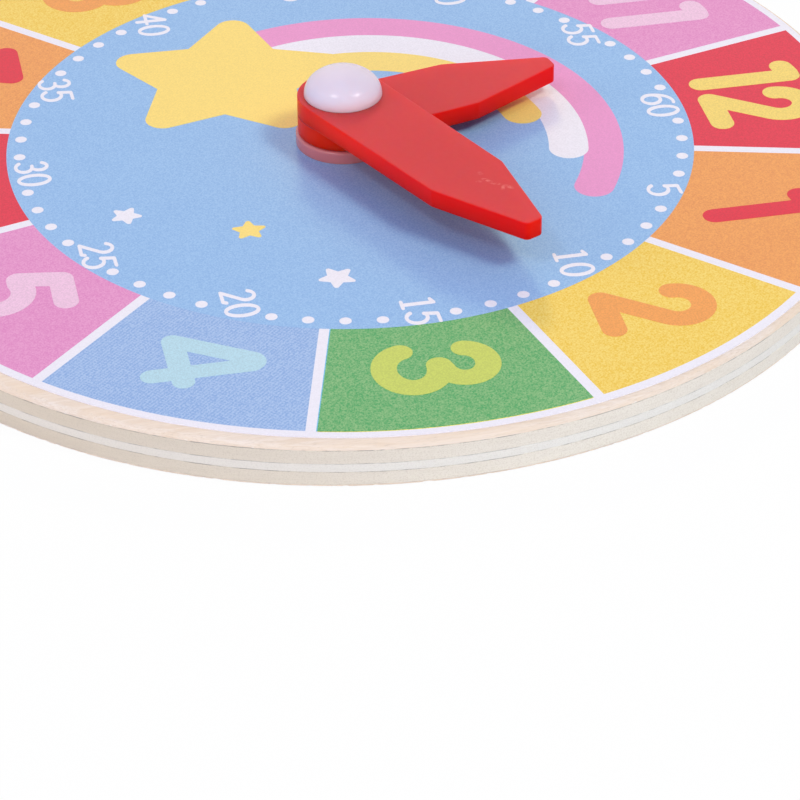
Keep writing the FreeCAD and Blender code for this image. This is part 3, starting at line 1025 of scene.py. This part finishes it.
def minute_dots():
    """The dots of the minutes between the minute numbers."""
    material = ink("minute dots", *PRINT_WHITE, WHITE_GRAIN)
    pattern = Pattern("minute_dots", {"Circle radius": DOT_CIRCLE, "Dot radius": DOT_RADIUS,
                                      "Thickness": NUMBER_INK - SKY_INK,
                                      "Offset": PRINT_OFFSET,
                                      "Level": (NUMBER_INK + SKY_INK) / 2})
    place = pattern.node("GeometryNodeInputIndex")
    numbered = pattern.maths("LESS_THAN", pattern.maths("MODULO", place, 5.0), 0.5)
    ring = pattern.node("GeometryNodeDeleteGeometry",
                        {"Geometry": pattern.ring(MINUTES), "Selection": numbered}, domain="POINT")
    dot = pattern.node("GeometryNodeMeshCylinder", {
        "Vertices": DOT_STEPS, "Radius": pattern.size("Dot radius"),
        "Depth": pattern.size("Thickness")})
    shift = pattern.node("ShaderNodeCombineXYZ", {"X": 0.0, "Y": pattern.size("Offset"),
                                                  "Z": pattern.size("Level")})
    dots = pattern.moved(pattern.repeated(dot, ring), "Translation", shift)
    finished(pattern.made(dots, material), BOARD_BODY, "dial_print", material)


def dial():
    """Everything that is printed."""
    print_sheet()
    green_passes()
    sectors()
    sky_disc()
    picture()
    minute_dots()
    material = ink("minute numbers", *PRINT_WHITE, WHITE_GRAIN)
    printed("minute_numbers", minute_outlines(), SKY_INK, NUMBER_INK, material)


# Bush, hands and cap

HAND_ARC_STEP = 5.0
HAND_ROUND_STEPS = 5
CAP_STEPS = 16


def edge_points(radius, level, rounding, steps=6):
    """The rounded upper edge of a turned piece, from its side to its top."""
    return [(radius - rounding + rounding * math.cos(turn),
             level - rounding + rounding * math.sin(turn))
            for turn in even(0.0, math.pi / 2, steps)]


def bush(material):
    """The flanged bush under the hands."""
    profile = [(BUSH_BORE, POCKET_FLOOR), (BUSH_RADIUS, POCKET_FLOOR), (BUSH_RADIUS, DIAL_LEVEL),
               (FLANGE_RADIUS, DIAL_LEVEL), (FLANGE_RADIUS, FLANGE_TOP - FLANGE_ROUND - HOLD)]
    profile += edge_points(FLANGE_RADIUS, FLANGE_TOP, FLANGE_ROUND)
    profile += [(FLANGE_RADIUS - FLANGE_ROUND - HOLD, FLANGE_TOP), (BUSH_BORE, FLANGE_TOP)]
    piece = turned("bush_flange", profile, ring=True)
    finished(piece, BOARD_BODY, "milky_plastic", material, "centre_bush")


def facing(degrees):
    """A direction, anticlockwise from the right."""
    turn = math.radians(degrees)
    return Vector((math.cos(turn), math.sin(turn)))


def hand_arcs(length, shoulder):
    """The arcs of a hand's outline, anticlockwise, as middle, radius, first and last angle."""
    wide, tip = HAND_HALF_WIDTH, HAND_TIP_HALF_WIDTH
    slant = math.degrees(math.atan2(wide - tip, length - shoulder))
    touch = math.degrees(math.atan2(wide, shoulder)
                         + math.acos(HAND_END_RADIUS / math.hypot(shoulder, wide)))
    corners_in_turn = [
        (Vector((shoulder, -wide)), HAND_SHOULDER_ROUND, -touch, slant - 90.0),
        (Vector((length, -tip)), HAND_TIP_ROUND, slant - 90.0, 0.0),
        (Vector((length, tip)), HAND_TIP_ROUND, 0.0, 90.0 - slant),
        (Vector((shoulder, wide)), HAND_SHOULDER_ROUND, 90.0 - slant, touch),
    ]
    arcs = []
    for corner, radius, first, last in corners_in_turn:
        before, after = facing(first), facing(last)
        middle = corner - (before + after) * (radius / (1 + before.dot(after)))
        arcs.append((middle, radius, first, last))
    arcs.append((SPINDLE, HAND_END_RADIUS, touch, 360.0 - touch))
    return arcs


def hand_loop(arcs, inset, level, clock_angle, bore=None):
    """One loop round a hand, moved in from its outline, or the matching loop of its bore."""
    flat = []
    for middle, radius, first, last in arcs:
        count = max(4, round((last - first) / HAND_ARC_STEP))
        arc = [middle + facing(turn) * (radius - inset) for turn in even(first, last, count)]
        flat.append(arc[0] - facing(first + 90) * HOLD)
        flat += arc
        flat.append(arc[-1] + facing(last + 90) * HOLD)
    if bore is not None:
        flat = [point.normalized() * bore for point in flat]
    spin = Matrix.Rotation(math.radians(90 - clock_angle), 2)
    return [Vector((*(spin @ point), level)) for point in flat]


def hand(node, length, shoulder, clock_angle, bore, body, material):
    """A flat hand with a round end, a blunt point and softly rounded edges."""
    low, high = corners(node)[0].z, corners(node)[1].z
    arcs = hand_arcs(length, shoulder)
    rounding = HAND_EDGE_ROUND
    side = [(rounding * (1 - math.sin(turn)), rounding * (1 - math.cos(turn)))
            for turn in even(0.0, math.pi / 2, HAND_ROUND_STEPS)]
    steps = [(rounding + HOLD, low)]
    steps += [(inset, low + rise) for inset, rise in side]
    steps += [(0.0, low + rounding + HOLD), (0.0, high - rounding - HOLD)]
    steps += [(inset, high - rise) for inset, rise in reversed(side)]
    steps += [(rounding + HOLD, high)]
    loops = [hand_loop(arcs, 0, low, clock_angle, bore)]
    loops += [hand_loop(arcs, inset, level, clock_angle) for inset, level in steps]
    loops.append(hand_loop(arcs, 0, high, clock_angle, bore))
    piece = skin(node + "_blade", loops, ring=True)
    finished(piece, body, "hand_red", material, node)


def dome(material):
    """The domed cap: a round shoulder and a flatter crown over a socket for the arbor."""
    tall = CAP_HIGH - CAP_LOW
    shoulder = CAP_RADIUS - CAP_SHOULDER_ROUND
    crown = (shoulder ** 2 + tall ** 2 - CAP_SHOULDER_ROUND ** 2) / (
        2 * (tall - CAP_SHOULDER_ROUND))
    join = math.atan2(crown - tall, shoulder)
    profile = [(0, CAP_LOW + CAP_SOCKET_DEPTH), (ARBOR_RADIUS, CAP_LOW + CAP_SOCKET_DEPTH),
               (ARBOR_RADIUS, CAP_LOW), (CAP_RADIUS - HOLD, CAP_LOW)]
    for turn in even(0.0, join, CAP_STEPS):
        profile.append((shoulder + CAP_SHOULDER_ROUND * math.cos(turn),
                        CAP_LOW + CAP_SHOULDER_ROUND * math.sin(turn)))
    for turn in even(join, math.pi / 2, CAP_STEPS)[1:-1]:
        profile.append((crown * math.cos(turn), CAP_HIGH - crown + crown * math.sin(turn)))
    profile.append((0, CAP_HIGH))
    finished(turned("cap_dome", profile), "minute_work", "milky_plastic", material, "dome_cap")


# Marks by their places along and across the hand, turn, half length, half width and strength
SCUFFS = [
    (31.0, 1.3, -20.0, 1.1, 0.5, 0.6),
    (32.4, 1.7, -42.0, 1.2, 0.4, 0.5),
    (34.1, 2.6, -14.0, 1.0, 0.5, 0.6),
    (33.8, 1.9, 48.0, 0.9, 0.4, 0.5),
    (29.0, 1.7, 10.0, 0.7, 0.6, 0.25),
    (30.6, 0.2, -60.0, 0.6, 0.5, 0.25),
]


def scuff_places():
    """The marks near the minute hand's tip, each by its place, clock angle, size and strength."""
    return [(clock_point(along, MINUTE_ANGLE, SPINDLE)
             + clock_point(across, MINUTE_ANGLE - 90, SPINDLE), MINUTE_ANGLE + turn, *rest)
            for along, across, turn, *rest in SCUFFS]


def hands_and_cap():
    """What shows in the middle of the dial."""
    # The bush's rosy, darker colour is painted shade and painted red light from the hands over white
    # milky plastic.
    bush(milky_plastic("rosy plastic", linear(196, 110, 114), linear(204, 124, 126), 0.0))
    dome(milky_plastic("milky plastic", linear(224, 209, 223), linear(230, 219, 231), 1.6))
    hand("hour_hand", HOUR_LENGTH, HOUR_SHOULDER, HOUR_ANGLE, TUBE_RADIUS, "hour_work",
         red_plastic("hour hand red", corners("hour_hand")[1].z))
    hand("minute_hand", MINUTE_LENGTH, MINUTE_SHOULDER, MINUTE_ANGLE, ARBOR_RADIUS,
         "minute_work", red_plastic("minute hand red", CAP_LOW, scuff_places()))


# Back cover and what is behind the dial

COVER_EDGE = 0.15
SCREW_HEAD_BEVEL = (0.08, 0.05)


def cover():
    """The plate over the pocket, with its countersunk holes."""
    plate = turned("cover_plate", [
        (BEARING_RADIUS, 0), (COVER_RADIUS - COVER_EDGE, 0), (COVER_RADIUS, COVER_EDGE),
        (COVER_RADIUS, COVER_TOP), (BEARING_RADIUS, COVER_TOP)], ring=True)
    head, shank = SCREW_HEAD_RADIUS + SCREW_GAP, SCREW_SHANK_RADIUS + SCREW_GAP
    below, above = -CUT_BEYOND, COVER_TOP + CUT_BEYOND
    sink = [(0, below), (head, below), (head, SCREW_LOW), (shank, SCREW_LOW + SCREW_HEAD_HEIGHT),
            (shank, above), (0, above)]
    cutters = [turned("countersink", sink, SMALL_STEPS, centre=place) for place in screw_places()]
    cutters.append(drill(PIN_RADIUS, below, above, PIN_PLACE))
    plate = cut_holes(plate, joined("cover holes", cutters))
    material = moulded_plastic("cover plastic", linear(232, 232, 228))
    finished(plate, BOARD_BODY, "cover_plastic", material, "back_cover")


def rectangle(wide, deep, level):
    """The corners of a level rectangle round the spindle."""
    return [Vector((wide / 2 * side_x, deep / 2 * side_y, level))
            for side_x, side_y in ((-1, -1), (1, -1), (1, 1), (-1, 1))]


def brick(name, wide, deep, low, high):
    """A plain block round the spindle, used only to cut a recess."""
    faces = [(3, 2, 1, 0), (4, 5, 6, 7)]
    faces += [(index, (index + 1) % 4, 4 + (index + 1) % 4, 4 + index) for index in range(4)]
    return mesh_object(name, rectangle(wide, deep, low) + rectangle(wide, deep, high), faces)


def screws():
    """The countersunk screws of the cover, each with a cross recess."""
    material = turned_metal("screw steel", (0.62, 0.62, 0.6), 0.25)
    inwards, upwards = SCREW_HEAD_BEVEL
    screw = turned("screw", [
        (0, SCREW_LOW), (SCREW_HEAD_RADIUS - inwards, SCREW_LOW),
        (SCREW_HEAD_RADIUS, SCREW_LOW + upwards),
        (SCREW_SHANK_RADIUS, SCREW_LOW + SCREW_HEAD_HEIGHT),
        (SCREW_SHANK_RADIUS, SCREW_TOP), (0, SCREW_TOP)], SMALL_STEPS)
    for wide, deep in ((RECESS_LENGTH, RECESS_WIDTH), (RECESS_WIDTH, RECESS_LENGTH)):
        slot = brick("slot", wide, deep, -CUT_BEYOND, SCREW_LOW + RECESS_DEPTH)
        screw = cut_holes(screw, slot)
    pattern = Pattern("cover_screw_set", {"Circle radius": SCREW_CIRCLE})
    ring = pattern.moved(pattern.ring(SCREW_COUNT), "Rotation",
                         Euler((0, 0, math.radians(SCREW_FIRST))))
    shape = pattern.node("GeometryNodeObjectInfo", {"Object": screw}, "Geometry",
                         transform_space="ORIGINAL")
    made = pattern.made(pattern.repeated(shape, ring), material)
    remove(screw)
    finished(made, BOARD_BODY, "screw_steel", material, "cover_screws")


def hidden_works():
    """The finishes of the gears, spindles and washers, which keep their CAD shapes."""
    acetal = moulded_plastic("gear plastic", linear(232, 232, 226), 0.006)
    steel = turned_metal("spindle steel", (0.6, 0.6, 0.6), 0.3)
    felt = felt_cloth("grey felt", (0.12, 0.12, 0.125))
    nodes_by_finish = [
        (acetal, ("thrust_washer", "idler_wheel", "idler_pinion", "drive_pinion", "hour_tube",
                  "hour_wheel")),
        (steel, ("idler_pin", "minute_arbor")),
        (felt, ("friction_washer",)),
    ]
    for material, nodes in nodes_by_finish:
        for node in nodes:
            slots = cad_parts[node].data.materials
            slots.clear()
            slots.append(material)


# Camera, light and floor

CAMERA_PLACE = Vector((426.67, -79.09, 261.89))
CAMERA_AIM = Vector((65.4, -5.41, 6.55))
CAMERA_ROLL = -0.372
CAMERA_LENS = 158.69
CAMERA_RANGE = (0.02, 20.0)
WORLD_LIGHT = (0.25, 0.27, 0.5)
WHITE = (1.0, 1.0, 1.0)
FLOOR_SIDE = 8000.0
FLOOR_GLOW = 0.965


def camera():
    """The camera at the photograph's viewing angle."""
    data = bpy.data.cameras.new("camera")
    data.lens = CAMERA_LENS
    data.clip_start, data.clip_end = CAMERA_RANGE
    seen = placed("camera", data)
    look = (CAMERA_AIM - CAMERA_PLACE).to_track_quat("-Z", "Y").to_matrix()
    roll = Matrix.Rotation(math.radians(CAMERA_ROLL), 3, "Z")
    seen.matrix_world = Matrix.Translation(CAMERA_PLACE * MM) @ (look @ roll).to_4x4()
    bpy.context.scene.camera = seen


def lamp(name, azimuth, elevation, distance, size, watts, colour, mirrored=True):
    """A square soft lamp that faces the dial. Its azimuth counts anticlockwise from +X.

    Its distance and size are in metres.
    """
    data = bpy.data.lights.new(name, "AREA")
    data.shape = "SQUARE"
    data.size = size
    data.energy = watts
    data.color = colour
    source = placed(name, data)
    turn, rise = math.radians(azimuth), math.radians(elevation)
    away = Vector((math.cos(turn) * math.cos(rise), math.sin(turn) * math.cos(rise),
                   math.sin(rise)))
    source.location = away * distance
    source.rotation_euler = away.to_track_quat("Z", "Y").to_euler()
    source.visible_glossy = mirrored


class World(Nodes):
    """The light from all round, white where it is seen or mirrored."""

    def __init__(self, diffuse_light):
        world = bpy.data.worlds.new("world")
        world.use_nodes = True
        bpy.context.scene.world = world
        self.tree = world.node_tree
        self.tree.nodes.clear()
        seen, *others = [self.node("ShaderNodeLightPath", None, ray) for ray in
                         ("Is Camera Ray", "Is Glossy Ray", "Is Transmission Ray")]
        for ray in others:
            seen = self.maths("MAXIMUM", seen, ray)
        light = self.blend(seen, diffuse_light, WHITE)
        sky = self.node("ShaderNodeBackground", {"Color": light, "Strength": 1.0})
        self.node("ShaderNodeOutputWorld", {"Surface": sky}, None)


def floor():
    """A white floor that keeps a faint shadow of the board."""
    piece = mesh_object("floor", rectangle(FLOOR_SIDE, FLOOR_SIDE, 0), [(0, 1, 2, 3)])
    finish = Finish("floor white")
    paint = finish.node("ShaderNodeBsdfDiffuse", {"Color": (0.9, 0.9, 0.9, 1.0)})
    glow = finish.node("ShaderNodeEmission", {"Color": (*WHITE, 1.0)})
    seen = finish.node("ShaderNodeLightPath", None, "Is Camera Ray")
    both = finish.node("ShaderNodeMixShader", {0: seen * FLOOR_GLOW, 1: paint, 2: glow})
    finish.node("ShaderNodeOutputMaterial", {"Surface": both}, None)
    piece.data.materials.append(finish.material)


board()
dial()
hands_and_cap()
cover()
screws()
hidden_works()
camera()
lamp("main lamp", 58.0, 55.0, 0.9, 0.24, 2.18, (1.0, 1.04, 0.68), mirrored=False)
lamp("window lamp", 171.0, 29.0, 0.9, 0.12, 2.4, (1.3, 1.02, 0.4), mirrored=False)
lamp("low front lamp", -20.0, 13.0, 1.0, 0.4, 2.9, (1.03, 1.02, 0.85), mirrored=False)
lamp("left lamp", -100.0, 22.0, 0.9, 0.4, 1.5, (1.06, 1.0, 0.8), mirrored=False)
lamp("right spot", 50.5, 51.6, 0.9, 0.16, 1.2, WHITE)
lamp("left spot", -52.5, 57.6, 0.9, 0.16, 0.9, WHITE)
World(WORLD_LIGHT)
floor()
bpy.context.scene.view_settings.view_transform = "Standard"
